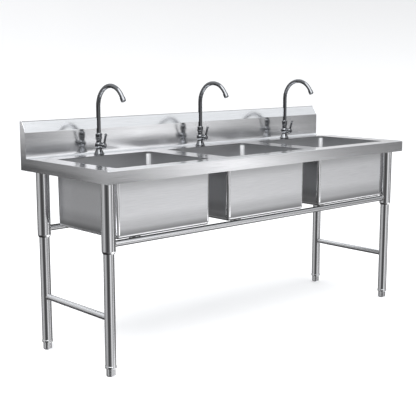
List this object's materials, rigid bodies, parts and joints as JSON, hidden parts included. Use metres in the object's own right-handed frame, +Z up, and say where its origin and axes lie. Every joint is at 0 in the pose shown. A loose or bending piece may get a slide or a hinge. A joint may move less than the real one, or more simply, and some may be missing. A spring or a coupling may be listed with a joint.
{
  "type": "three compartment sink",
  "caption": "Free-standing steel sink with three basins in one worktop, a splashback, a swan-neck tap per basin, sleeved tube legs and screw-in feet.",
  "frame": {"origin": "on the floor, under the middle of the worktop", "axes": "+X to the right along the worktop, +Y from the front to the splashback, +Z up"},
  "size_m": [1.8, 0.6, 1.1007],
  "materials": {
    "brushed_sheet": "brushed",
    "tube_steel": "satin",
    "tap_chrome": "polished",
    "polished_steel": "polished",
    "foot_steel": "satin",
    "foot_collar_steel": "satin",
    "zinc_steel": "zinc plated",
    "brass_fitting": "plain",
    "rubber_seal": "matt",
    "ceramic_valve": "matt",
    "black_plastic": "matt"
  },
  "bodies": {
    "sink": {"basin_left": "brushed_sheet", "basin_middle": "brushed_sheet", "basin_right": "brushed_sheet", "drain_body_left": "polished_steel", "drain_body_middle": "polished_steel", "drain_body_right": "polished_steel", "drain_gaskets": "rubber_seal", "drain_lock_nuts": "black_plastic", "end_plate_left": "brushed_sheet", "end_plate_right": "brushed_sheet", "foot_insert_front_left": "foot_collar_steel", "foot_insert_front_right": "foot_collar_steel", "foot_insert_rear_left": "foot_collar_steel", "foot_insert_rear_right": "foot_collar_steel", "front_rail": "tube_steel", "leg_front_left": "tube_steel", "leg_front_right": "tube_steel", "leg_mount_plates": "brushed_sheet", "leg_rear_left": "tube_steel", "leg_rear_right": "tube_steel", "rear_rail": "tube_steel", "rung_left": "tube_steel", "rung_right": "tube_steel", "sleeve_front_left": "tube_steel", "sleeve_front_right": "tube_steel", "sleeve_rear_left": "tube_steel", "sleeve_rear_right": "tube_steel", "sleeve_set_screws": "zinc_steel", "sleeve_weld_nuts": "zinc_steel", "stiffener_channels": "brushed_sheet", "tap_body_left": "tap_chrome", "tap_body_middle": "tap_chrome", "tap_body_right": "tap_chrome", "tap_cartridges": "ceramic_valve", "tap_gaskets": "rubber_seal", "tap_lock_nuts": "brass_fitting", "worktop_deck": "brushed_sheet"},
    "spout_left": {"tap_spout_left": "tap_chrome", "tap_nozzle_left": "tap_chrome"},
    "lever_left": {"tap_lever_left": "tap_chrome"},
    "basket_left": {"drain_basket_left": "polished_steel"},
    "spout_middle": {"tap_spout_middle": "tap_chrome", "tap_nozzle_middle": "tap_chrome"},
    "lever_middle": {"tap_lever_middle": "tap_chrome"},
    "basket_middle": {"drain_basket_middle": "polished_steel"},
    "spout_right": {"tap_spout_right": "tap_chrome", "tap_nozzle_right": "tap_chrome"},
    "lever_right": {"tap_lever_right": "tap_chrome"},
    "basket_right": {"drain_basket_right": "polished_steel"},
    "stem_front_left": {"foot_stem_front_left": "zinc_steel"},
    "foot_front_left": {"foot_front_left": "foot_steel"},
    "stem_front_right": {"foot_stem_front_right": "zinc_steel"},
    "foot_front_right": {"foot_front_right": "foot_steel"},
    "stem_rear_left": {"foot_stem_rear_left": "zinc_steel"},
    "foot_rear_left": {"foot_rear_left": "foot_steel"},
    "stem_rear_right": {"foot_stem_rear_right": "zinc_steel"},
    "foot_rear_right": {"foot_rear_right": "foot_steel"}
  },
  "joints": [
    {"name": "spout_swivel_left", "type": "hinge", "parent": "sink", "child": "spout_left", "pos_m": [-0.58, 0.198, 0.88], "axis": [0, 0, 1], "range_deg": [-110, 110]},
    {"name": "lever_turn_left", "type": "hinge", "parent": "sink", "child": "lever_left", "pos_m": [-0.58, 0.17, 0.8395], "axis": [0, -1, 0], "range_deg": [0, 90]},
    {"name": "basket_lift_left", "type": "slide", "parent": "sink", "child": "basket_left", "axis": [0, 0, 1], "range_m": [0, 0.33]},
    {"name": "spout_swivel_middle", "type": "hinge", "parent": "sink", "child": "spout_middle", "pos_m": [0, 0.198, 0.88], "axis": [0, 0, 1], "range_deg": [-110, 110]},
    {"name": "lever_turn_middle", "type": "hinge", "parent": "sink", "child": "lever_middle", "pos_m": [0, 0.17, 0.8395], "axis": [0, -1, 0], "range_deg": [0, 90]},
    {"name": "basket_lift_middle", "type": "slide", "parent": "sink", "child": "basket_middle", "axis": [0, 0, 1], "range_m": [0, 0.33]},
    {"name": "spout_swivel_right", "type": "hinge", "parent": "sink", "child": "spout_right", "pos_m": [0.58, 0.198, 0.88], "axis": [0, 0, 1], "range_deg": [-110, 110]},
    {"name": "lever_turn_right", "type": "hinge", "parent": "sink", "child": "lever_right", "pos_m": [0.58, 0.17, 0.8395], "axis": [0, -1, 0], "range_deg": [0, 90]},
    {"name": "basket_lift_right", "type": "slide", "parent": "sink", "child": "basket_right", "axis": [0, 0, 1], "range_m": [0, 0.33]},
    {"name": "foot_travel_front_left", "type": "slide", "parent": "sink", "child": "stem_front_left", "axis": [0, 0, -1], "range_m": [0, 0.024]},
    {"name": "foot_turn_front_left", "type": "hinge", "parent": "stem_front_left", "child": "foot_front_left", "pos_m": [-0.857, -0.237, 0.02], "axis": [0, 0, -1], "range_deg": [0, 4320]},
    {"name": "foot_travel_front_right", "type": "slide", "parent": "sink", "child": "stem_front_right", "axis": [0, 0, -1], "range_m": [0, 0.024]},
    {"name": "foot_turn_front_right", "type": "hinge", "parent": "stem_front_right", "child": "foot_front_right", "pos_m": [0.857, -0.237, 0.02], "axis": [0, 0, -1], "range_deg": [0, 4320]},
    {"name": "foot_travel_rear_left", "type": "slide", "parent": "sink", "child": "stem_rear_left", "axis": [0, 0, -1], "range_m": [0, 0.024]},
    {"name": "foot_turn_rear_left", "type": "hinge", "parent": "stem_rear_left", "child": "foot_rear_left", "pos_m": [-0.857, 0.207, 0.02], "axis": [0, 0, -1], "range_deg": [0, 4320]},
    {"name": "foot_travel_rear_right", "type": "slide", "parent": "sink", "child": "stem_rear_right", "axis": [0, 0, -1], "range_m": [0, 0.024]},
    {"name": "foot_turn_rear_right", "type": "hinge", "parent": "stem_rear_right", "child": "foot_rear_right", "pos_m": [0.857, 0.207, 0.02], "axis": [0, 0, -1], "range_deg": [0, 4320]}
  ],
  "couplings": [
    {"joint": "foot_turn_front_left", "follows": "foot_travel_front_left", "rad_per_m": 3141.6},
    {"joint": "foot_turn_front_right", "follows": "foot_travel_front_right", "rad_per_m": 3141.6},
    {"joint": "foot_turn_rear_left", "follows": "foot_travel_rear_left", "rad_per_m": 3141.6},
    {"joint": "foot_turn_rear_right", "follows": "foot_travel_rear_right", "rad_per_m": 3141.6}
  ]
}
